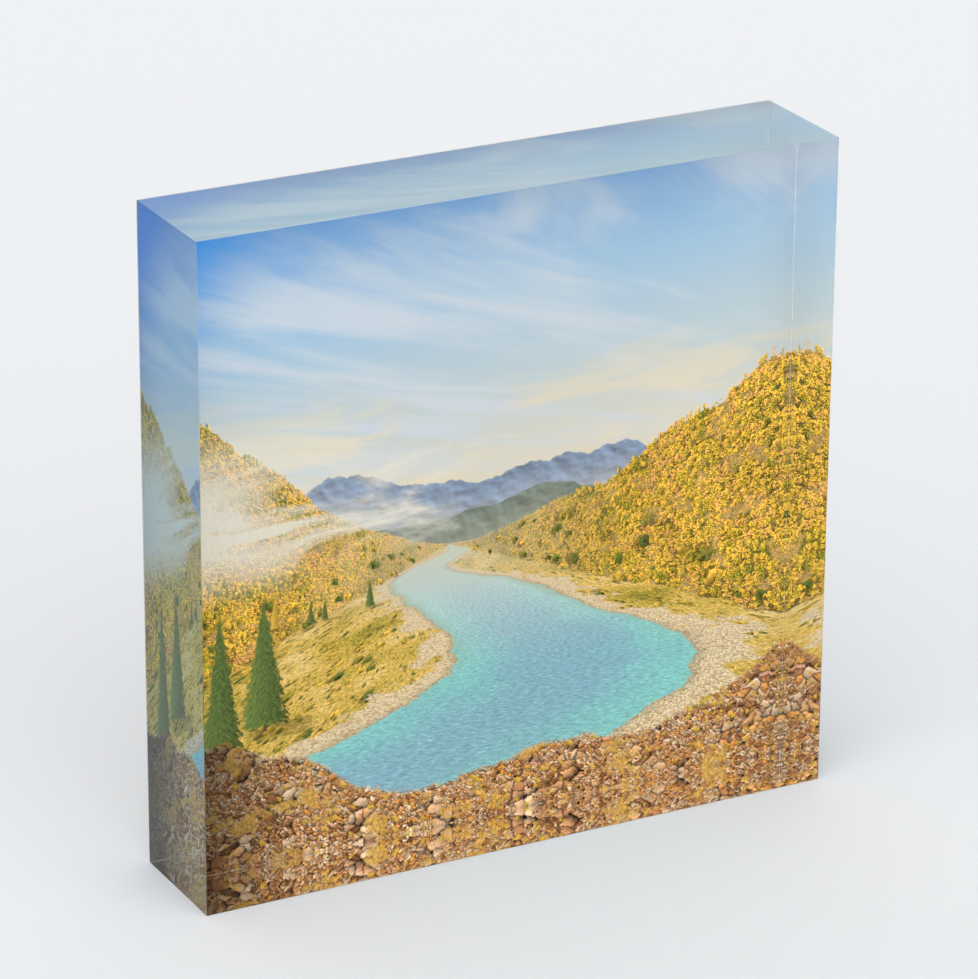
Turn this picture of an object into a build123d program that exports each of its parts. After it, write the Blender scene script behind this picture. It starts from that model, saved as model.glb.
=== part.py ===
from build123d import *

import os

# A free-standing photo block: one thick slab of clear cast acrylic with polished faces. A photographic
# print is bonded face-forward to the slab's back by an optically clear adhesive film, so the picture is
# seen through the acrylic from the front, the top and the sides. A thin opaque film seals the print from
# behind. The four pieces are a bonded stack, and nothing on the block moves.
#
# Millimetres. X runs to the right of someone facing the picture, Y into the block, Z up.
# The origin is on the standing surface, under the middle of the finished block.

# Acrylic slab
SLAB_WIDTH = 127.0
SLAB_HEIGHT = 127.0
SLAB_DEPTH = 24.4
ARRIS = 0.10  # scraped flat along the front edges and the edges that run from front to back

# Laminate on the slab's back, from the slab outwards, trimmed level with the slab's sides
ADHESIVE_THICKNESS = 0.10
PRINT_THICKNESS = 0.20
FILM_THICKNESS = 0.10

# Places that follow from the sizes
FINISHED_DEPTH = SLAB_DEPTH + ADHESIVE_THICKNESS + PRINT_THICKNESS + FILM_THICKNESS
FRONT_Y = -FINISHED_DEPTH / 2
SLAB_BACK_Y = FRONT_Y + SLAB_DEPTH
PRINT_FRONT_Y = SLAB_BACK_Y + ADHESIVE_THICKNESS
FILM_FRONT_Y = PRINT_FRONT_Y + PRINT_THICKNESS

OUTPUT_FOLDER = "parts"


def plate(front_y, depth):
    """An upright plate with the outline of the slab and its front face at front_y."""
    centre = Location((0, front_y + depth / 2, SLAB_HEIGHT / 2))
    return centre * Box(SLAB_WIDTH, depth, SLAB_HEIGHT)


def edges_through(piece):
    """The four edges that run from front to back."""
    return piece.edges().filter_by(Axis.Y)


def sheet(front_y, thickness):
    """One layer of the laminate, which is scraped at its four corners together with the slab."""
    layer = plate(front_y, thickness)
    return chamfer(edges_through(layer), ARRIS)


def acrylic_block():
    """The slab. Its back edges stay sharp, because the laminate covers the back right up to them."""
    slab = plate(FRONT_Y, SLAB_DEPTH)
    front = slab.faces().sort_by(Axis.Y)[0]
    return chamfer(edges_through(slab) + front.edges(), ARRIS)


def mounting_adhesive():
    """The clear film that joins the print's face to the slab without an air gap."""
    return sheet(SLAB_BACK_Y, ADHESIVE_THICKNESS)


def photo_print():
    """The print, picture side towards the slab."""
    return sheet(PRINT_FRONT_Y, PRINT_THICKNESS)


def backing_film():
    """The opaque self-adhesive film that seals the back of the print."""
    return sheet(FILM_FRONT_Y, FILM_THICKNESS)


PIECES = {
    "acrylic_block": acrylic_block,
    "mounting_adhesive": mounting_adhesive,
    "photo_print": photo_print,
    "backing_film": backing_film,
}

os.makedirs(OUTPUT_FOLDER, exist_ok=True)
for name, make in PIECES.items():
    piece = make()
    export_step(piece, os.path.join(OUTPUT_FOLDER, name + ".step"))
    size = piece.bounding_box().size
    print(f"{name}: {size.X:.2f} x {size.Y:.2f} x {size.Z:.2f} mm, {piece.volume / 1000:.2f} cm3")
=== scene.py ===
# %% [markdown]
# # A clear acrylic photo block
# The object is a thick square slab of polished acrylic. A photographic print is glued to its back, so the
# picture is seen through the slab, and the slab's sides mirror it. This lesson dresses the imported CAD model:
# it loads the solids, replaces each with a finished mesh of the same size, and gives each a material made of
# shader nodes. Everything is in metres, with X to the right, Y into the block and Z up.

import math

import bmesh
import bpy
from mathutils import Matrix, Vector, noise


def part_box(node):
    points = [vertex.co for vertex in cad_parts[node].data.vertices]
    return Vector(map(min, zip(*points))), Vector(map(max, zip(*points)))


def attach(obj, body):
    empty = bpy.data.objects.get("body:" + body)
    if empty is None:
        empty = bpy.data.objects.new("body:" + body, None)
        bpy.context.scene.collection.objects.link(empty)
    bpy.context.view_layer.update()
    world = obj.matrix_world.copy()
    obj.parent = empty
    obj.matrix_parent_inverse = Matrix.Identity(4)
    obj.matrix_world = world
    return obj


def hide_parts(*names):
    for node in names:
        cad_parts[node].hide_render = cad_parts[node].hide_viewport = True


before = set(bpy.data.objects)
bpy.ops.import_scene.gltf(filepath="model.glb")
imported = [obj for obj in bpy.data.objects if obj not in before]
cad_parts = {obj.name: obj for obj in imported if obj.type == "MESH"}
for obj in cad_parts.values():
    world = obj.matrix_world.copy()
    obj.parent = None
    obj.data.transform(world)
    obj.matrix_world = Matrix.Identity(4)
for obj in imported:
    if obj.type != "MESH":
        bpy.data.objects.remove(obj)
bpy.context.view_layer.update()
scene = bpy.context.scene

slab_low, slab_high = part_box("acrylic_block")
glue_low, glue_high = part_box("mounting_adhesive")
print_low, print_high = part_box("photo_print")
film_low, film_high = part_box("backing_film")
for node in sorted(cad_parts):
    low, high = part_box(node)
    print(node, [round(1000 * side, 2) for side in high - low], "mm")

# %% [markdown]
# ## The camera
# The photograph was taken from the left and above with a long lens, so the upright edges hardly converge. A
# camera can be aimed with a constraint, but a matrix built from three directions also holds the slight roll,
# and it can be read straight from a camera solve. The lens is worked out for a picture 979 pixels high on a
# 36 mm sensor.

# %% Place the camera
SENSOR = 36.0
PICTURE_HEIGHT = 979.0
FOCAL_LENGTH_PIXELS = 5209.6
CAMERA_PLACE = Vector((-0.4094, -0.7710, 0.4164))
CAMERA_LOOK = Vector((0.4347, 0.8199, -0.3726))
CAMERA_UP = Vector((0.1684, 0.3324, 0.9280))


def aim(place, look, up):
    """The matrix of a camera at a place, looking one way, with its top towards up."""
    back = -look.normalized()
    right = up.cross(back).normalized()
    top = back.cross(right)
    turn = Matrix((right, top, back)).transposed()
    return Matrix.Translation(place) @ turn.to_4x4()


lens = bpy.data.cameras.new("photo_camera")
lens.sensor_width = SENSOR
lens.lens = SENSOR * FOCAL_LENGTH_PIXELS / PICTURE_HEIGHT
camera = bpy.data.objects.new("photo_camera", lens)
camera.matrix_world = aim(CAMERA_PLACE, CAMERA_LOOK, CAMERA_UP)
scene.collection.objects.link(camera)
scene.camera = camera
print("lens", round(lens.lens, 1), "mm")

# %% [markdown]
# ## Making pieces and materials
# Two helpers keep the cells short. One turns a bmesh into an object of the scene. The other makes a material
# and sets its Principled shader's sockets by name, because a value that is the same all over belongs on the
# socket itself.

# %% Helpers for pieces and materials
def piece_from(bm, name, *materials):
    """Turn a finished bmesh into an object with these material slots."""
    mesh = bpy.data.meshes.new(name)
    bm.to_mesh(mesh)
    bm.free()
    for material in materials:
        mesh.materials.append(material)
    piece = bpy.data.objects.new(name, mesh)
    scene.collection.objects.link(piece)
    print(name, len(mesh.polygons), "faces")
    return piece


def new_material(name, **sockets):
    """A material whose Principled shader has these sockets, with underscores for spaces."""
    material = bpy.data.materials.new(name)
    material.use_nodes = True
    shader = material.node_tree.nodes["Principled BSDF"]
    for socket, value in sockets.items():
        shader.inputs[socket.replace("_", " ")].default_value = value
    print("finish", name)
    return material


# %% [markdown]
# ## The studio
# The block stands on a pale seamless floor. One large square is enough, because no horizon is in view. It
# lies a hair below the block, because a real block rests on a film of air, and that air makes its base a
# mirror.

# %% Floor
FLOOR_SIZE = 6.0
AIR_UNDER_BLOCK = 0.00005
FLOOR_PAPER = (0.474, 0.483, 0.495, 1)

seamless = new_material("seamless_floor", Base_Color=FLOOR_PAPER, Roughness=0.9, Specular_IOR_Level=0.0)
bm = bmesh.new()
bmesh.ops.create_grid(bm, x_segments=1, y_segments=1, size=FLOOR_SIZE / 2)
bmesh.ops.translate(bm, vec=(0, 0, slab_low.z - AIR_UNDER_BLOCK), verts=bm.verts)
floor = piece_from(bm, "floor", seamless)

# %% [markdown]
# The light is that of a tent. Lamps would do, but light reaches the print only through the acrylic, and small
# lamps seen through glass turn to noise. A wide glow is clean, so the world itself is the tent, with one glow
# behind the camera and a weaker one behind the block. Each begins where the cosine of the angle to its middle
# passes an edge.

# %% Light tent
GLOW_EDGE = 0.1
GLOW_BEHIND_CAMERA = 3.5
GLOW_BEHIND_BLOCK = 1.4
BEHIND_CAMERA = (-0.36, -0.78, 0.52)
BEHIND_BLOCK = (0.30, 0.85, 0.43)


def tent_glow(tree, direction, facing, gain):
    """Light that swells towards one direction, as a chain of nodes ending in a number."""
    dot = tree.nodes.new("ShaderNodeVectorMath")
    dot.operation = "DOT_PRODUCT"
    dot.inputs[1].default_value = facing
    tree.links.new(direction, dot.inputs[0])
    swell = tree.nodes.new("ShaderNodeMapRange")
    swell.interpolation_type = "SMOOTHSTEP"
    swell.inputs["From Min"].default_value = GLOW_EDGE
    swell.inputs["To Max"].default_value = gain
    tree.links.new(dot.outputs["Value"], swell.inputs["Value"])
    return swell.outputs["Result"]


tent = bpy.data.worlds.new("light_tent")
tent.use_nodes = True
scene.world = tent
tree = tent.node_tree
background = tree.nodes["Background"]
background.inputs["Color"].default_value = (1, 1, 1, 1)
direction = tree.nodes.new("ShaderNodeTexCoord").outputs["Generated"]
front_glow = tent_glow(tree, direction, BEHIND_CAMERA, GLOW_BEHIND_CAMERA)
back_glow = tent_glow(tree, direction, BEHIND_BLOCK, GLOW_BEHIND_BLOCK)
both = tree.nodes.new("ShaderNodeMath")
tree.links.new(front_glow, both.inputs[0])
tree.links.new(back_glow, both.inputs[1])
tree.links.new(both.outputs["Value"], background.inputs["Strength"])
scene.view_settings.view_transform = "Standard"
print("the tent glows", GLOW_BEHIND_CAMERA, "behind the camera and", GLOW_BEHIND_BLOCK, "behind the block")

# %% [markdown]
# A ray that enters the block can bounce between its faces many times before it leaves. The default limits
# stop such rays early, and the mirrored strips go dark, so the limits for each kind of bounce are raised.

# %% Let light bounce inside the block
scene.cycles.max_bounces = 32
scene.cycles.diffuse_bounces = 8
scene.cycles.glossy_bounces = 16
scene.cycles.transmission_bounces = 24
scene.cycles.transparent_max_bounces = 64
print("at most", scene.cycles.max_bounces, "bounces")

# %% [markdown]
# ## The acrylic slab
# The slab is cast acrylic, sawn square and polished until it is as clear as glass. Seen through its sides,
# the picture is deeper and bluer than through its front, and a little deeper through its top. That darker look
# is painted shade, put into tints of the faces, because the clear acrylic itself has none. Absorption in the
# depth of the acrylic would darken the front as well, so the tint is given to the faces: a strong one to the
# upright sides and a weak one to the top and base. A glass shader tints light once at each face that it
# crosses. The photograph shows hardly any reflection in the faces, so their head-on gloss is turned down.

# %% Finishes of the slab
ACRYLIC_IOR = 1.49
FRONT_TINT = (1.0, 1.0, 1.0)
# Painted shade: the side and end tints darken and blue the picture seen through those faces.
SIDE_SHADE_TINT = (0.19, 0.35, 0.54)
END_SHADE_TINT = (0.26, 0.42, 0.47)


def clear_polish(name, tint, gloss):
    """Polished acrylic that tints the light passing through it, and mirrors head-on by this share."""
    return new_material(
        name,
        Base_Color=(*tint, 1),
        Roughness=0.0,
        IOR=ACRYLIC_IOR,
        Transmission_Weight=1.0,
        Specular_Tint=(gloss, gloss, gloss, 1),
    )


polished = clear_polish("polished_front", FRONT_TINT, gloss=0.2)
# The side and end copies of the polish carry painted shade in their tints.
side_shade_polish = clear_polish("polished_sides_painted_shade", SIDE_SHADE_TINT, gloss=0.0)
end_shade_polish = clear_polish("polished_top_and_base_painted_shade", END_SHADE_TINT, gloss=0.0)
scraped = new_material(
    "scraped_arris", Base_Color=(0.7, 0.76, 0.8, 1), Roughness=0.15, IOR=ACRYLIC_IOR, Transmission_Weight=1.0
)
bonded = new_material("bonded_back", Base_Color=(1, 1, 1, 1), Alpha=0.0)

# %% [markdown]
# The slab's shape is a cube. A scraper takes the sharpness off its edges, except the four at the back, where
# the laminate covers the acrylic right up to the edge. Where the print is glued on there is no air between
# acrylic and paper, so light passes without bending or mirroring. The flat back is therefore inset into a
# bonded face of its own.

# %% Shape of the slab
ARRIS = 0.0001
KNIFE_WANDER = 0.00003
FACING = 0.9
SIDE, END, SCRAPED, BONDED = 1, 2, 3, 4


def box_between(low, high):
    """A bmesh box with these two corners."""
    bm = bmesh.new()
    bmesh.ops.create_cube(bm, size=1.0)
    bmesh.ops.scale(bm, vec=high - low, verts=bm.verts)
    bmesh.ops.translate(bm, vec=(low + high) / 2, verts=bm.verts)
    return bm


def back_of(bm):
    """The wide face at the back."""
    return max(bm.faces, key=lambda face: face.normal.y * face.calc_area())


bm = box_between(slab_low, slab_high)
sharp = set(back_of(bm).edges)
blunt = [edge for edge in bm.edges if edge not in sharp]
bevelled = bmesh.ops.bevel(
    bm, geom=blunt, offset=ARRIS, affect="EDGES", segments=2, profile=0.5, material=-1
)
for face in bm.faces:
    if abs(face.normal.x) > FACING:
        face.material_index = SIDE
    elif abs(face.normal.z) > FACING:
        face.material_index = END
for face in bevelled["faces"]:
    face.material_index = SCRAPED
back = back_of(bm)
bmesh.ops.inset_region(bm, faces=[back], thickness=KNIFE_WANDER)
back.material_index = BONDED
block = piece_from(bm, "acrylic_slab", polished, side_shade_polish, end_shade_polish, scraped, bonded)
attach(block, "root")
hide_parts("acrylic_block")

# %% [markdown]
# ## Sheets cut with a knife
# The adhesive, the print and the film are thin sheets. Each starts as an upright grid, whose rim is moved
# inwards by a little noise, as a knife run along a straightedge leaves it, and whose corners are scraped
# together with the slab's. The grid is then extruded to the sheet's thickness.

# %% A helper that cuts a sheet
CUTS = 48
WANDER_PITCH = 0.011


def cut_sheet(low, high, seed):
    """A closed sheet between two corners, with edges that wander inwards as a knife's cut does."""
    bm = bmesh.new()
    middle = (low + high) / 2
    size = high - low
    bmesh.ops.create_grid(bm, x_segments=CUTS, y_segments=CUTS, size=0.5)
    bmesh.ops.rotate(bm, matrix=Matrix.Rotation(math.radians(90), 3, "X"), verts=bm.verts)
    bmesh.ops.scale(bm, vec=(size.x, 1, size.z), verts=bm.verts)
    for vert in bm.verts:
        if vert.is_boundary:
            wander = noise.noise(vert.co / WANDER_PITCH + Vector((seed, seed, seed)))
            inwards = KNIFE_WANDER * (0.5 + 0.5 * wander)
            is_corner = len(vert.link_edges) == 2
            if is_corner:
                inwards += ARRIS / 2
            vert.co *= 1 - 2 * inwards / size.x
    bmesh.ops.translate(bm, vec=(middle.x, low.y, middle.z), verts=bm.verts)
    grown = bmesh.ops.extrude_face_region(bm, geom=bm.faces[:], use_keep_orig=True)
    rear = [item for item in grown["geom"] if isinstance(item, bmesh.types.BMVert)]
    bmesh.ops.translate(bm, vec=(0, size.y, 0), verts=rear)
    bmesh.ops.recalc_face_normals(bm, faces=bm.faces)
    return bm


def faces_towards(bm, sign):
    """The faces of a sheet that look along +Y or -Y."""
    return [face for face in bm.faces if sign * face.normal.y > FACING]


# %% [markdown]
# ## The adhesive
# The clear adhesive wets both the acrylic and the print. Its two wide faces can't be seen at all, so they let
# light straight through, and only its cut rim shows, glossy and clear. It is drawn two microns short of what
# it touches, because two faces in one plane would make the renderer guess which comes first.

# %% Adhesive film
CONTACT = Vector((0, 0.000002, 0))
PRINT_SEED = 3.0
ADHESIVE_IOR = 1.47

clear_rim = new_material(
    "adhesive_rim",
    Base_Color=(0.98, 0.98, 0.95, 1),
    Roughness=0.12,
    IOR=ADHESIVE_IOR,
    Transmission_Weight=1.0,
)
bm = cut_sheet(glue_low + CONTACT, glue_high - CONTACT, PRINT_SEED)
for face in faces_towards(bm, 1) + faces_towards(bm, -1):
    face.material_index = 1
glue = piece_from(bm, "clear_adhesive_film", clear_rim, bonded)
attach(glue, "root")
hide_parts("mounting_adhesive")

# %% [markdown]
# ## Drawing with shader nodes
# The print needs a picture, and a picture file isn't wanted, so an invented landscape is drawn with shader
# nodes. A tree of hundreds of nodes is hard to read as links, so a small class lets sums be written as sums:
# each `+` or `*` on a `Field` will add the Math node that does it. A field is any number or colour that
# varies over the print.

# %% Fields that add nodes
class Field:
    """A number or colour that varies over the print: one output socket of the ink's node tree."""

    tree = None

    def __init__(self, socket):
        self.socket = socket


def feed(value, socket):
    """Link a field to a socket, or set the socket to a plain value."""
    if isinstance(value, Field):
        Field.tree.links.new(value.socket, socket)
    else:
        socket.default_value = value


def new_node(kind, **settings):
    """A node of the ink's tree."""
    node = Field.tree.nodes.new(kind)
    for name, value in settings.items():
        setattr(node, name, value)
    return node


def calc(operation, *values):
    """One Math node."""
    node = new_node("ShaderNodeMath", operation=operation)
    for value, socket in zip(values, node.inputs):
        feed(value, socket)
    return Field(node.outputs["Value"])


# %% [markdown]
# Python calls a method such as `__add__` when it meets a `+`, and `__radd__` when the field is on the right,
# so a loop gives the class all four sums both ways. The other functions that the drawing needs are one node
# each.

# %% Sums and steps
OPERATORS = {"add": "ADD", "sub": "SUBTRACT", "mul": "MULTIPLY", "truediv": "DIVIDE"}
for word, operation in OPERATORS.items():
    setattr(Field, f"__{word}__", lambda a, b, operation=operation: calc(operation, a, b))
    setattr(Field, f"__r{word}__", lambda a, b, operation=operation: calc(operation, b, a))


def size_of(field):
    """A field without its sign."""
    return calc("ABSOLUTE", field)


def log(field):
    """The natural logarithm of a field."""
    return calc("LOGARITHM", field, math.e)


def step(field, low, high):
    """0 below low, 1 above high, and a smooth rise between."""
    node = new_node("ShaderNodeMapRange", interpolation_type="SMOOTHSTEP")
    feed(field, node.inputs["Value"])
    feed(low, node.inputs["From Min"])
    feed(high, node.inputs["From Max"])
    return Field(node.outputs["Result"])


# %% [markdown]
# Two textures do nearly all the drawing. The first is noise, which gives cloud, grass and ripples. A place is
# multiplied by about as many blotches as should fit across the print, and a sum on it slides the pattern
# along.

# %% Noise
def point(x, y):
    """Two fields as one vector."""
    node = new_node("ShaderNodeCombineXYZ")
    feed(x, node.inputs["X"])
    feed(y, node.inputs["Y"])
    return Field(node.outputs["Vector"])


def mottle(x, y, detail=4.0, roughness=0.5, distortion=0.0):
    """Noise from 0 to 1."""
    node = new_node("ShaderNodeTexNoise", noise_dimensions="2D")
    feed(point(x, y), node.inputs["Vector"])
    node.inputs["Scale"].default_value = 1.0
    node.inputs["Detail"].default_value = detail
    node.inputs["Roughness"].default_value = roughness
    node.inputs["Distortion"].default_value = distortion
    return Field(node.outputs["Fac"])


def crag(x, y):
    """Ridged noise: sharp crests between soft hollows."""
    return 1.0 - size_of(mottle(x, y, 6.0, 0.55) - 0.5) * 4.0


# %% [markdown]
# The second texture is Voronoi cells, for things that come in crowds, such as leaves, stones and trees. Every
# cell knows where its middle is, so a shape can be drawn around that middle. It also has random numbers of
# its own, so no two shapes are alike.

# %% Crowds
def own_numbers(voronoi):
    """The three random numbers of a cell."""
    split = new_node("ShaderNodeSeparateColor")
    Field.tree.links.new(voronoi.outputs["Color"], split.inputs["Color"])
    return (Field(socket) for socket in split.outputs)


class Cells:
    """A crowd on a plane: where each point is from its cell's middle, and the cell's random numbers."""

    def __init__(self, x, y):
        voronoi = new_node("ShaderNodeTexVoronoi", voronoi_dimensions="2D")
        feed(point(x, y), voronoi.inputs["Vector"])
        voronoi.inputs["Scale"].default_value = 1.0
        middle = new_node("ShaderNodeSeparateXYZ")
        Field.tree.links.new(voronoi.outputs["Position"], middle.inputs["Vector"])
        self.away = Field(voronoi.outputs["Distance"])
        self.right = x - Field(middle.outputs["X"])
        self.up = y - Field(middle.outputs["Y"])
        self.luck, self.chance, self.whim = own_numbers(voronoi)


class Row:
    """A crowd along a line."""

    def __init__(self, x):
        voronoi = new_node("ShaderNodeTexVoronoi", voronoi_dimensions="1D")
        feed(x, voronoi.inputs["W"])
        voronoi.inputs["Scale"].default_value = 1.0
        self.right = x - Field(voronoi.outputs["W"])
        self.luck, self.chance, self.whim = own_numbers(voronoi)


# %% [markdown]
# Colours are mixed as a printer lays inks: one wash over another wherever a mask says so. Each is written as
# the display values that a picture editor shows, and turned into the linear light that shaders work in. A Mix
# node has a set of sockets for each kind of data under the same names, so its colour sockets are found by
# number.

# %% Inks
MIX_UNDER, MIX_OVER, MIX_RESULT = 6, 7, 2


def linear(channel):
    """One display value from 0 to 255 as linear light."""
    value = channel / 255
    if value <= 0.04045:
        return value / 12.92
    return ((value + 0.055) / 1.055) ** 2.4


def ink(red, green, blue):
    """A display colour for a colour socket."""
    return (linear(red), linear(green), linear(blue), 1.0)


def lay(under, over, mask):
    """One colour over another, where the mask is 1."""
    node = new_node("ShaderNodeMix", data_type="RGBA")
    feed(mask, node.inputs["Factor"])
    feed(under, node.inputs[MIX_UNDER])
    feed(over, node.inputs[MIX_OVER])
    return Field(node.outputs[MIX_RESULT])


def tone(colour, brightness):
    """A colour made lighter or darker."""
    node = new_node("ShaderNodeVectorMath", operation="SCALE")
    feed(colour if isinstance(colour, Field) else colour[:3], node.inputs[0])
    feed(brightness, node.inputs["Scale"])
    return Field(node.outputs["Vector"])


def ramp(field, *stops):
    """Colours along a field, from pairs of a place and an ink."""
    node = new_node("ShaderNodeValToRGB")
    elements = node.color_ramp.elements
    while len(elements) < len(stops):
        elements.new(0.5)
    for element, (place, colour) in zip(elements, stops):
        element.position = place
        element.color = colour
    feed(field, node.inputs["Fac"])
    return Field(node.outputs["Color"])


# %% [markdown]
# ## Sky
# `u` runs from 0 to 1 across the print and `v` from 0 to 1 up it. Clear sky is a ramp up the print, from
# cream at the horizon to deep blue. Cirrus lies on a ceiling that meets the horizon far away: dividing by the
# height above the horizon gives that perspective, and noise stretched along one direction on the ceiling
# gives the streaks.

# %% Draw the sky
HORIZON = 0.44
VANISH = 0.44
CEILING_ENDS = HORIZON - 0.12


def clear_sky(u, v):
    """Cream at the horizon, blue above, and azure in the top left corner."""
    height = v + (0.5 - u) * 0.10 + (mottle(u * 1.7, v * 2.5, 2.0) - 0.5) * 0.06
    colour = ramp(
        height,
        (0.44, ink(238, 218, 176)),
        (0.54, ink(228, 219, 198)),
        (0.66, ink(200, 211, 212)),
        (0.82, ink(168, 199, 223)),
        (1.00, ink(112, 165, 223)),
    )
    return lay(colour, ink(20, 152, 240), step(v - u * 1.5, 0.66, 0.96))


def cirrus(u, v):
    """The mask of the high streaks, which thin out in the top left corner."""
    lift = 1.0 / (v - CEILING_ENDS)
    east = (u - VANISH) * lift
    along = east * 0.8 + lift * 0.6
    across = east * -0.6 + lift * 0.8
    wisps = mottle(along * 0.70 + 4.0, across * 3.4, 8.0, 0.58, 0.5)
    veil = mottle(along * 0.5, across * 1.3 + 7.0, 4.0)
    streaks = step(wisps * 0.60 + veil * 0.55, 0.50, 0.70)
    corner = step(v - u * 0.6, 0.74, 0.94)
    return streaks * step(v, 0.50, 0.62) * (1.0 - corner * 0.8)


def low_cloud(u, v):
    """The mask of flat banks above the horizon, which are thicker on the left."""
    banks = mottle(u * 3.0 + 2.0, v * 16.0, 6.0, 0.55, 0.3) + step(0.40 - u, 0.0, 0.35) * 0.14
    return step(banks, 0.48, 0.64) * step(v, 0.47, 0.53) * (1.0 - step(v, 0.60, 0.76))


def sky(u, v):
    """Clear sky, streaked with cirrus and banked with low cloud."""
    streaked = lay(clear_sky(u, v), ink(216, 220, 226), cirrus(u, v) * 0.8)
    return lay(streaked, ink(238, 222, 190), low_cloud(u, v) * 0.75)


# %% [markdown]
# ## Distant mountains
# A skyline is noise read along one line, so it has one height at each `u`. The facets come from lighting a
# ridged noise: the difference between two readings a little apart is the slope that faces the sun. Haze
# thickens downwards.

# %% Draw a mountain range
def mountains(u, v, seed, crest, swing, haze, rock):
    """A range's colour, and the mask of where it stands."""
    skyline = crest + (mottle(u * 4.2 + seed, seed, 7.0, 0.5) - 0.45) * swing
    mask = step(skyline - v, 0.0, 0.0025)
    x = u * 13.0 + v * 9.0 + seed
    y = v * 17.0 - u * 4.0
    facet = (crag(x, y) - crag(x + 0.10, y + 0.08)) * 0.9 + 0.95
    depth = step(skyline - v, 0.0, 0.13)
    return lay(tone(rock, facet), haze, depth * 0.8 + 0.10), mask


# %% [markdown]
# ## Meadow
# The valley floor is a plane seen in perspective. Dividing by the drop below the horizon gives the place
# across it, and the logarithm of the drop gives the place along it, at a scale that keeps tufts of grass as
# wide as they are deep.

# %% Draw the meadow
class Ground:
    """Places on the valley floor."""

    def __init__(self, u, v):
        self.drop = HORIZON - v + 0.012
        self.across = (u - VANISH) / self.drop
        self.along = log(self.drop)


def shrubs(grass, x, y, share):
    """Grass with scattered round shrubs and their shadows, one to a cell at most."""
    bush = Cells(x, y)
    leaf = Cells(x * 6.5, y * 6.5)
    size = 0.12 + bush.chance * 0.26 + (leaf.luck - 0.5) * 0.20
    there = step(share - bush.luck, 0.0, 0.02)
    shadow = step(size + 0.06 - bush.away - bush.right * 0.5, 0.0, 0.12) * there
    light = 0.85 - bush.right * 1.3 - bush.up * 1.6 + (leaf.luck - 0.5) * 1.1
    leaves = lay(ink(94, 108, 40), ink(232, 184, 66), step(bush.whim, 0.1, 0.8))
    grass = lay(grass, tone(grass, 0.45), shadow)
    return lay(grass, tone(leaves, light), step(size - bush.away, 0.0, 0.05) * there)


def meadow(ground):
    """Dry grass in broad patches, with shrubs of two sizes."""
    x, y = ground.across, ground.along
    patch = mottle(x * 1.3, y * 3.0 + 3.0, 6.0, 0.62)
    blades = mottle(x * 40.0, y * 62.0, 6.0, 0.8)
    grass = ramp(
        patch * 0.95 + blades * 0.7 - 0.30,
        (0.20, ink(118, 116, 40)),
        (0.38, ink(190, 164, 64)),
        (0.56, ink(232, 190, 94)),
        (0.76, ink(246, 216, 148)),
    )
    grass = tone(grass, 0.10 + blades * 1.8)
    grass = shrubs(grass, x * 24.0 + 4.0, y * 24.0, 0.45)
    return shrubs(grass, x * 10.0, y * 10.0, 0.45)


# %% [markdown]
# ## River
# The river winds over the same floor. Its middle is the sum of two sine waves along the valley. How far each
# point is from that middle, in half widths of the river, says whether it is water, wet gravel, dry gravel or
# meadow.

# %% Draw the river and its gravel
def from_midstream(ground):
    """How far each point is from the middle of the river, in half widths."""
    x, y = ground.across, ground.along
    bend = calc("SINE", y * 2.7 + 0.2) * 0.85 + calc("SINE", y * 5.1 + 2.0) * 0.22
    wander = (mottle(x * 2.0, y * 5.0, 5.0, 0.6) - 0.5) * 0.36
    width = 0.92 + calc("SINE", y * 4.3) * 0.14
    return size_of(x - bend + wander - 0.15) / width


def gravel(ground, place):
    """The gravel's colour, darker where it is wet, and the mask of where it lies."""
    x, y = ground.across, ground.along
    pebbles = Cells(x * 80.0, y * 90.0)
    fine = mottle(x * 50.0, y * 70.0, 5.0, 0.75)
    sand = lay(ink(240, 216, 172), ink(206, 172, 128), step(pebbles.luck, 0.5, 1.0))
    sand = tone(sand, 0.48 + fine * 0.95 - pebbles.right * 0.35 - pebbles.up * 0.45)
    sand = tone(sand, 0.70 + step(place, 0.98, 1.12) * 0.30)
    ragged = (mottle(x * 3.0 + 4.0, y * 8.0, 4.0, 0.6) - 0.5) * 1.3
    return sand, step(1.40 + ragged - place, 0.0, 0.10)


def water(ground, place):
    """Turquoise water with ripples and glints, which mirrors its banks far away, and its mask."""
    x, y = ground.across, ground.along
    ripples = mottle(x * 22.0 + y * 34.0, y * 120.0 - x * 12.0, 6.0, 0.74, 0.4)
    swell = mottle(x * 2.0, y * 9.0, 3.0)
    shallow = step(place + swell * 0.8, 0.60, 1.45)
    colour = lay(ink(140, 186, 198), ink(142, 210, 202), shallow)
    far = 1.0 - step(ground.drop, 0.03, 0.24)
    colour = lay(colour, ink(208, 220, 212), far * 0.80)
    mirrored_bank = step(place + (ripples - 0.5) * 0.5, 0.78, 1.0) * (1.0 - step(ground.drop, 0.03, 0.30))
    colour = lay(colour, ink(150, 154, 96), mirrored_bank * 0.45)
    colour = tone(colour, 0.16 + ripples * 1.68)
    glint = step(ripples, 0.60, 0.72) * step(swell, 0.40, 0.60)
    return lay(colour, ink(238, 244, 240), glint * 0.5), step(1.0 - place, 0.0, 0.02)


def river(view, ground):
    """The view with the river and its gravel banks."""
    place = from_midstream(ground)
    view = lay(view, *gravel(ground, place))
    return lay(view, *water(ground, place))


# %% [markdown]
# ## Wooded slopes
# Both sides of the valley rise from its floor to a ragged crest. A slope is measured in logarithms of its
# distance from the vanishing point, which makes far trees small at no extra cost. Ridged noise folds it into
# spurs that catch the light, and haze lies over its far end.

# %% Measure the slopes
FLOOR_HALF = 2.6
SLOPE_ROOT = HORIZON - 0.06


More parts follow.
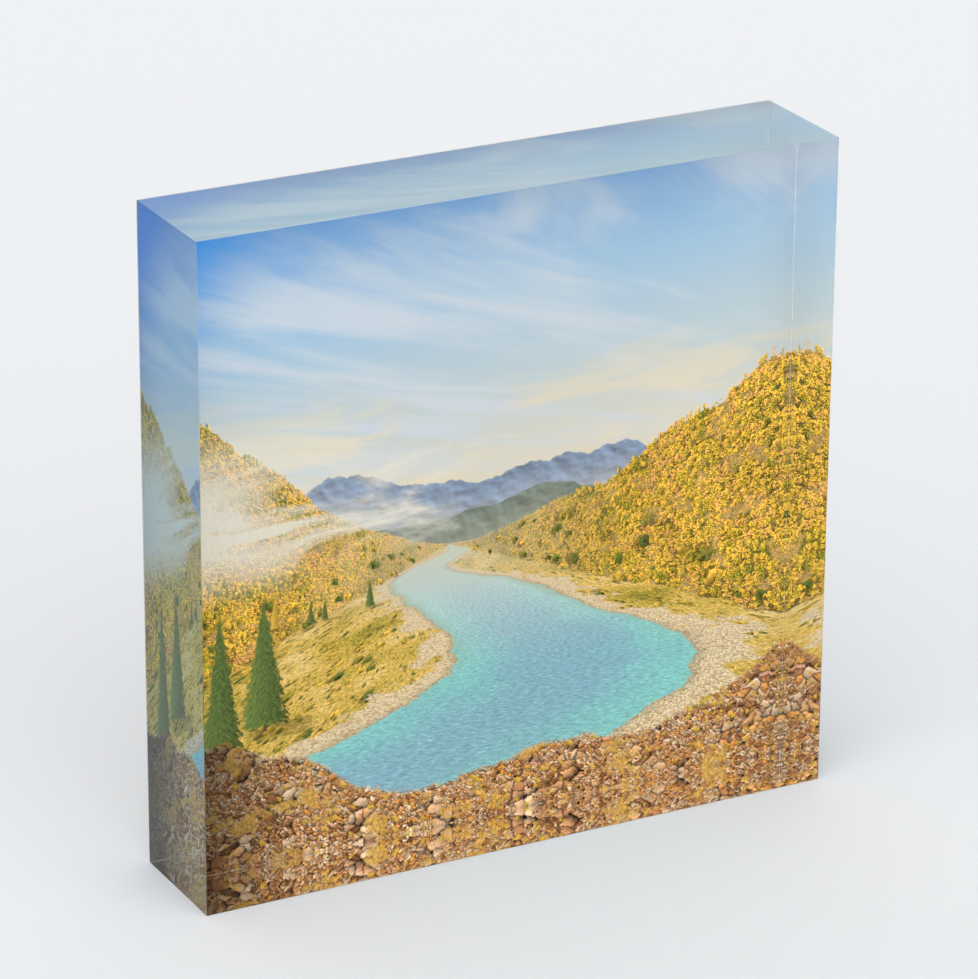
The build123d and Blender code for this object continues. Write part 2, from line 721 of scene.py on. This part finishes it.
class Slope:
    """Places on the valley's two sides, and what varies over them."""

    def __init__(self, u, v):
        self.side = size_of(u - VANISH)
        self.reach = self.side + 0.06
        left = step(VANISH - u, -0.02, 0.60)
        right = step(u - VANISH, 0.02, 0.75)
        ripple = mottle(u * 6.0 + 5.0, 2.0, 7.0, 0.58)
        self.crest = HORIZON + left * 0.34 + right * 0.24 + (ripple - 0.5) * 0.24 * (self.side + 0.05)
        self.below_crest = step(self.crest - v, 0.0, 0.0015)
        uneven = (mottle(u * 12.0, 4.0, 4.0) - 0.5) * 0.07
        self.foot = HORIZON - self.side / FLOOR_HALF + uneven * self.reach
        self.above_foot = v - self.foot
        along = log(self.reach) + step(u - VANISH, -0.001, 0.001) * 9.0
        rise = (v - SLOPE_ROOT) / self.reach
        spur = crag(along * 1.3 + rise * 0.9, rise * 0.35 - along * 0.35)
        rib = crag(along * 4.5 + rise * 2.0 + 3.0, rise * 1.1 - along * 0.8)
        self.relief = 0.60 + spur * 0.34 + rib * 0.22
        self.warm = mottle(along * 5.0 + 9.0, rise * 5.0, 5.0, 0.62) * 0.8 + spur * 0.15
        self.bare = step(mottle(along * 11.0, rise * 13.0 + 5.0, 5.0, 0.62), 0.50, 0.62)
        self.leaf = Cells(along * 330.0, rise * 330.0)
        self.along, self.rise = along, rise

    def hazed(self, colour):
        """A colour on the slope, seen through the haze at the valley's far end."""
        haze = (1.0 - step(self.side, 0.0, 0.30)) * 0.40
        return lay(colour, ink(222, 206, 168), haze)


# %% [markdown]
# The slopes are covered with autumn trees. Each tree hides the feet of those behind it, so the wood is drawn
# in rows from the top of the slope downwards, and every point looks only at the three rows that can reach it.
# Leaves are small cells of differing light and hue, earth shows in the clearings, and round shrubs are
# scattered along the foot.

# %% Draw the wooded slopes
TREES_ALONG = 66.0
ROWS_UP = 62.0
ROWS_IN_REACH = 3
ROW_SHIFT = 17.31


def bare_slope(view, slope):
    """The view with earth and fallen leaves on the slopes."""
    earth = lay(ink(128, 104, 44), ink(208, 166, 92), slope.bare)
    earth = tone(earth, slope.relief * (0.45 + slope.leaf.luck * 0.9))
    return lay(view, slope.hazed(earth), slope.below_crest * step(slope.above_foot, 0.0, 0.003))


def tree_row(view, slope, back):
    """The view with the row of trees that stands this many rows below each point."""
    leaf = slope.leaf
    x = slope.along * TREES_ALONG + (leaf.chance - 0.5) * 0.50
    y = slope.rise * ROWS_UP
    row = calc("FLOOR", y) - float(back)
    tree = Row(x + row * ROW_SHIFT)
    up = (y - row + tree.whim * 0.6) / (1.1 + tree.chance * 0.9)
    dome = calc("SQRT", calc("MAXIMUM", up * (1.0 - up), 0.0))
    half = dome * (0.95 + tree.whim * 0.50) + (leaf.luck - 0.5) * 0.50
    crown = step(half - size_of(tree.right), 0.0, 0.10) * step(dome, 0.0, 0.1)
    base = SLOPE_ROOT + row * slope.reach / ROWS_UP
    there = step(slope.crest - base, 0.0, 0.001) * step(base - slope.foot, -0.002, 0.0)
    there = there * step(tree.luck - slope.bare * 0.5, 0.0, 0.01)
    leaves = ramp(
        tree.luck * 0.48 + leaf.whim * 0.30 + slope.warm * 1.20 - 0.49,
        (0.06, ink(78, 100, 44)),
        (0.22, ink(150, 146, 44)),
        (0.40, ink(214, 172, 48)),
        (0.60, ink(246, 195, 66)),
        (0.84, ink(216, 150, 88)),
    )
    light = 0.52 + up * 0.44 - tree.right * 0.44 + (leaf.luck - 0.5) * 1.20
    leaves = tone(leaves, light * (slope.relief + 0.22))
    return lay(view, slope.hazed(leaves), crown * there)


def wooded_slopes(view, u, v):
    """The view with trees over both sides of the valley and shrubs along their foot."""
    slope = Slope(u, v)
    view = bare_slope(view, slope)
    for back in range(ROWS_IN_REACH):
        view = tree_row(view, slope, back)
    bushes = shrubs(view, slope.along * 11.0 + 2.0, slope.rise * -11.0, 0.55)
    near_foot = step(slope.above_foot, -0.006, 0.0) * (1.0 - step(slope.above_foot, 0.06, 0.16))
    return lay(view, bushes, near_foot * slope.below_crest)


# %% [markdown]
# Morning mist lies over the foot of the left slope. It is one more wash, where stretched noise passes a
# threshold that rises to the right.

# %% Draw the mist
def mist(view, u, v):
    """Pale drifts on the left, at the height of the far tree tops."""
    drift = mottle(u * 4.0 + 3.0, v * 13.0, 6.0, 0.6, 0.5)
    band = step(v, 0.40, 0.50) * (1.0 - step(v, 0.56, 0.70))
    return lay(view, ink(238, 230, 212), step(drift + (0.28 - u) * 0.8, 0.42, 0.66) * band * 0.9)


# %% [markdown]
# ## Single trees
# A few conifers stand alone on the meadow, in a far row and a near one. Each is a tall triangle whose outline
# and light are broken up by noise that slants outwards and down, as boughs do.

# %% Draw single trees
class Stand:
    """A row of trees along a base line: each point's place in the frame of its tree, in tree heights."""

    def __init__(self, u, v, spacing, seed, base, height, share, first, last):
        row = Row(u / spacing + seed)
        middle = u - row.right * spacing
        tall = (0.6 + row.chance * 0.6) * height
        inside = step(middle, first, first + 0.001) * step(last - middle, 0.0, 0.001)
        self.right = row.right * spacing / tall
        self.up = (v - base - (row.whim - 0.5) * 0.25 * height) / tall
        self.there = step(share - row.luck, 0.0, 0.01) * inside
        self.whim = row.whim
        self.chance = row.chance

    def shaded(self, view):
        """The view with a soft pool of shadow on the ground, thrown to the right."""
        along = (self.right - 0.30) / 0.55
        across = self.up / 0.07
        pool = step(1.0 - along * along - across * across, 0.0, 0.6)
        return lay(view, tone(view, 0.35), pool * self.there * 0.55)

    def trunk(self, half, top):
        """The mask of the trunk."""
        stem = step(half - size_of(self.right), 0.0, 0.008)
        return stem * step(self.up, 0.0, 0.01) * (1.0 - step(self.up, top, top + 0.1)) * self.there


def conifers(view, stand, gold):
    """Slender trees with jagged sides, of which a share is golden."""
    a, b = stand.right, stand.up
    jag = mottle(a * 16.0 + stand.whim * 40.0, b * 26.0 + size_of(a) * 20.0, 5.0, 0.75)
    half = (1.03 - b) * (0.15 + stand.whim * 0.07) * (0.30 + jag * 1.35)
    crown = step(half - size_of(a), 0.0, 0.02) * step(b + (jag - 0.5) * 0.12, 0.03, 0.06)
    bough = mottle(a * 34.0 + stand.whim * 90.0, b * 44.0 + size_of(a) * 44.0, 5.0, 0.8)
    needles = lay(ink(104, 122, 58), ink(222, 176, 66), step(stand.chance, 1.0 - gold, 1.02 - gold))
    view = lay(stand.shaded(view), ink(94, 74, 52), stand.trunk(0.018, 0.12))
    return lay(view, tone(needles, bough * 2.6 - 0.42 - a * 2.6), crown * stand.there)


# %% [markdown]
# ## The stony bank
# The near bank is broken stone, straw and fallen leaves. Each stone is a Voronoi cell with a tilt of its own,
# so it has one light and one dark side, and the gaps between cells are dark. Stones of two sizes lie in
# drifts, with noise as fine as grit over both.

# %% Draw broken stone
def cracks(x, y):
    """How far each point is from the nearest gap between cells."""
    voronoi = new_node("ShaderNodeTexVoronoi", voronoi_dimensions="2D", feature="DISTANCE_TO_EDGE")
    feed(point(x, y), voronoi.inputs["Vector"])
    voronoi.inputs["Scale"].default_value = 1.0
    return Field(voronoi.outputs["Distance"])


def broken_stone(x, y, grit, warm):
    """Angular stones, each lit by its own tilt, with dark gaps between them."""
    stones = Cells(x, y)
    tilt = stones.right * (stones.whim - 0.75) * 1.5 + stones.up * (0.35 + stones.chance * 0.8)
    gap = step(cracks(x, y), 0.0, 0.17)
    body = ramp(
        stones.luck * 0.60 + warm * 0.80 - 0.20,
        (0.06, ink(106, 66, 40)),
        (0.22, ink(182, 118, 70)),
        (0.40, ink(222, 160, 106)),
        (0.56, ink(246, 213, 174)),
        (0.76, ink(238, 158, 58)),
        (0.92, ink(222, 166, 140)),
    )
    return tone(body, (0.82 + tilt + (grit - 0.5) * 1.3) * (0.20 + gap * 0.85))


# %% [markdown]
# Yellow leaves and tufts of straw are laid over the stones. The upper edge of the bank is noise along `u`,
# and it rises towards both ends. The left end lies in shade.

# %% Draw the stony bank
def fallen_leaves(body, x, y, grit):
    """The bank with yellow leaves here and there."""
    leaf = Cells(x, y)
    there = step(0.16 + leaf.chance * 0.22 - leaf.away, 0.0, 0.08) * step(leaf.luck, 0.70, 0.72)
    return lay(body, tone(ink(250, 198, 70), 0.75 + leaf.up + (grit - 0.5) * 0.8), there)


def straw_tufts(body, u, v):
    """The bank with patches of dry grass."""
    straw = mottle(u * 300.0 + v * 90.0, v * 150.0 - u * 110.0, 6.0, 0.8, 0.6)
    tuft = step(mottle(u * 13.0 + 1.0, v * 19.0, 6.0, 0.75), 0.55, 0.63)
    return lay(body, tone(ink(238, 186, 86), straw * 3.6 - 0.95), tuft * 0.8)


def stony_bank(view, u, v):
    """The view with stones of two sizes, straw and fallen leaves along the bottom of the print."""
    edge = 0.080 + (mottle(u * 4.0 + 8.0, 1.0, 6.0, 0.58) - 0.5) * 0.12
    edge = edge + step(size_of(u - 0.56), 0.14, 0.56) * 0.13
    warp = (mottle(u * 34.0, v * 34.0, 5.0, 0.65) - 0.5) * 0.030
    grit = mottle((u - warp) * 260.0, (v + warp) * 340.0, 3.0, 0.75)
    warm = mottle(u * 11.0, v * 17.0 + 2.0, 6.0, 0.65)
    small = broken_stone((u + warp) * 130.0, (v - warp) * 190.0, grit, warm)
    large = broken_stone((u + warp) * 46.0 + 5.0, (v + warp) * 66.0, grit, warm)
    body = lay(small, large, step(mottle(u * 15.0 + 6.0, v * 22.0, 4.0, 0.6), 0.54, 0.57))
    body = fallen_leaves(body, (u - warp) * 70.0, (v + warp) * 90.0 + 3.0, grit)
    body = straw_tufts(body, u, v)
    body = tone(body, 0.20 + step(u, 0.0, 0.26) * 0.80)
    return lay(view, body, step(edge + (grit - 0.5) * 0.03 - v, 0.0, 0.003))


# %% [markdown]
# The knife ran a hair outside the inked area along the right, most of all near the top, and at the bottom
# left. The bare paper there is a fine pale line along the back edges of the block, and its width wanders as
# the cut did.

# %% Draw the bare rim
def bare_rim(view, u, v):
    """The view with bare paper along parts of its edge."""
    hair = 0.0002 + mottle((v - u) * 14.0, 2.0, 5.0, 0.7) * 0.0011 + step(v, 0.72, 0.95) * 0.0003
    right = step(hair - (1.0 - u), 0.0, 0.0003) * step(v, 0.45, 0.75) * 0.52
    view = lay(view, ink(250, 252, 254), right)
    bottom = step(hair - v, 0.0, 0.0003) * (1.0 - step(u, 0.02, 0.14)) * 0.5
    return lay(view, ink(226, 190, 172), bottom)


# %% [markdown]
# ## The whole picture
# The view is painted from back to front, so that near things cover far ones.

# %% Paint the view
def landscape(u, v):
    """The whole picture, as the colour that should be seen at each point."""
    blue_range = mountains(
        u, v, seed=1.3, crest=HORIZON + 0.085, swing=0.16, haze=ink(222, 212, 192), rock=ink(126, 148, 178)
    )
    green_range = mountains(
        u, v, seed=6.1, crest=HORIZON + 0.040, swing=0.10, haze=ink(212, 204, 176), rock=ink(120, 132, 120)
    )
    view = lay(lay(sky(u, v), *blue_range), *green_range)
    ground = Ground(u, v)
    valley = river(meadow(ground), ground)
    haze = (1.0 - step(ground.drop, 0.01, 0.12)) * 0.55
    valley = lay(valley, ink(216, 206, 178), haze)
    view = lay(view, valley, step(HORIZON - v, -0.001, 0.001))
    view = mist(wooded_slopes(view, u, v), u, v)
    far_row = Stand(
        u, v, spacing=0.030, seed=4.0, base=HORIZON - 0.075, height=0.050, share=0.55, first=0.05, last=0.36
    )
    near_row = Stand(
        u, v, spacing=0.100, seed=13.0, base=0.200, height=0.240, share=0.95, first=-0.05, last=0.30
    )
    view = conifers(conifers(view, far_row, gold=0.4), near_row, gold=0.1)
    return bare_rim(stony_bank(view, u, v), u, v)


# %% [markdown]
# ## The print
# Light reaches the print through the slab, and more than half of what the paper sends back is mirrored inside
# and falls on the print again, somewhere else. That evens out the light, so each ink keeps its place between
# black and white, and the tent above was made bright enough for the inks to be seen as they are written.

# %% Print the picture on paper
picture_ink = new_material("picture_ink", Roughness=1.0, Specular_IOR_Level=0.0)
Field.tree = picture_ink.node_tree
place = new_node("ShaderNodeSeparateXYZ")
Field.tree.links.new(new_node("ShaderNodeTexCoord").outputs["Object"], place.inputs["Vector"])
print_size = print_high - print_low
u = (Field(place.outputs["X"]) - print_low.x) / print_size.x
v = (Field(place.outputs["Z"]) - print_low.z) / print_size.z
seen_colour = landscape(u, v)
feed(seen_colour, Field.tree.nodes["Principled BSDF"].inputs["Base Color"])
print("the picture has", len(Field.tree.nodes), "nodes")

# %% [markdown]
# Only the front of the sheet carries ink. Its cut edges are a dark grey, much darker than the paper, and its
# back is hidden by the film. A fine noise gives the grey its grain, in roughness and in bumps.

# %% Paper sheet
GRAIN_HEIGHT = 0.00005


def grained(material, scale, low, high, bump):
    """Give a material fine grain: roughness between low and high, and bumps of this strength."""
    tree = material.node_tree
    shader = tree.nodes["Principled BSDF"]
    coordinates = tree.nodes.new("ShaderNodeTexCoord")
    grain = tree.nodes.new("ShaderNodeTexNoise")
    grain.inputs["Scale"].default_value = scale
    grain.inputs["Detail"].default_value = 6.0
    tree.links.new(coordinates.outputs["Object"], grain.inputs["Vector"])
    spread = tree.nodes.new("ShaderNodeMapRange")
    spread.inputs["To Min"].default_value = low
    spread.inputs["To Max"].default_value = high
    tree.links.new(grain.outputs["Fac"], spread.inputs["Value"])
    tree.links.new(spread.outputs["Result"], shader.inputs["Roughness"])
    relief = tree.nodes.new("ShaderNodeBump")
    relief.inputs["Strength"].default_value = bump
    relief.inputs["Distance"].default_value = GRAIN_HEIGHT
    tree.links.new(grain.outputs["Fac"], relief.inputs["Height"])
    tree.links.new(relief.outputs["Normal"], shader.inputs["Normal"])


# A dark grey for the cut edges of the paper and of the film.
grey_cut_edge = new_material("grey_cut_edge", Base_Color=(0.34, 0.34, 0.34, 1), Specular_IOR_Level=0.3)
grained(grey_cut_edge, scale=9000.0, low=0.6, high=0.85, bump=0.3)
bm = cut_sheet(print_low, print_high, PRINT_SEED)
for face in faces_towards(bm, -1):
    face.material_index = 1
sheet = piece_from(bm, "landscape_print", grey_cut_edge, picture_ink)
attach(sheet, "root")
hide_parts("photo_print")

# %% [markdown]
# ## The backing film
# White vinyl seals the paper from damp. It was rolled on, so its skin has a fine leathery grain, for which
# the same noise serves at a coarser scale. Its cut edge is the same dark grey as the paper's.

# %% Film on the back
FILM_SEED = 11.0

white_vinyl = new_material("white_vinyl", Base_Color=(0.82, 0.82, 0.80, 1), Specular_IOR_Level=0.4)
grained(white_vinyl, scale=2600.0, low=0.42, high=0.58, bump=0.25)
bm = cut_sheet(film_low + CONTACT, film_high, FILM_SEED)
for face in faces_towards(bm, 1):
    face.material_index = 1
film = piece_from(bm, "vinyl_backing", grey_cut_edge, white_vinyl)
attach(film, "root")
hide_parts("backing_film")
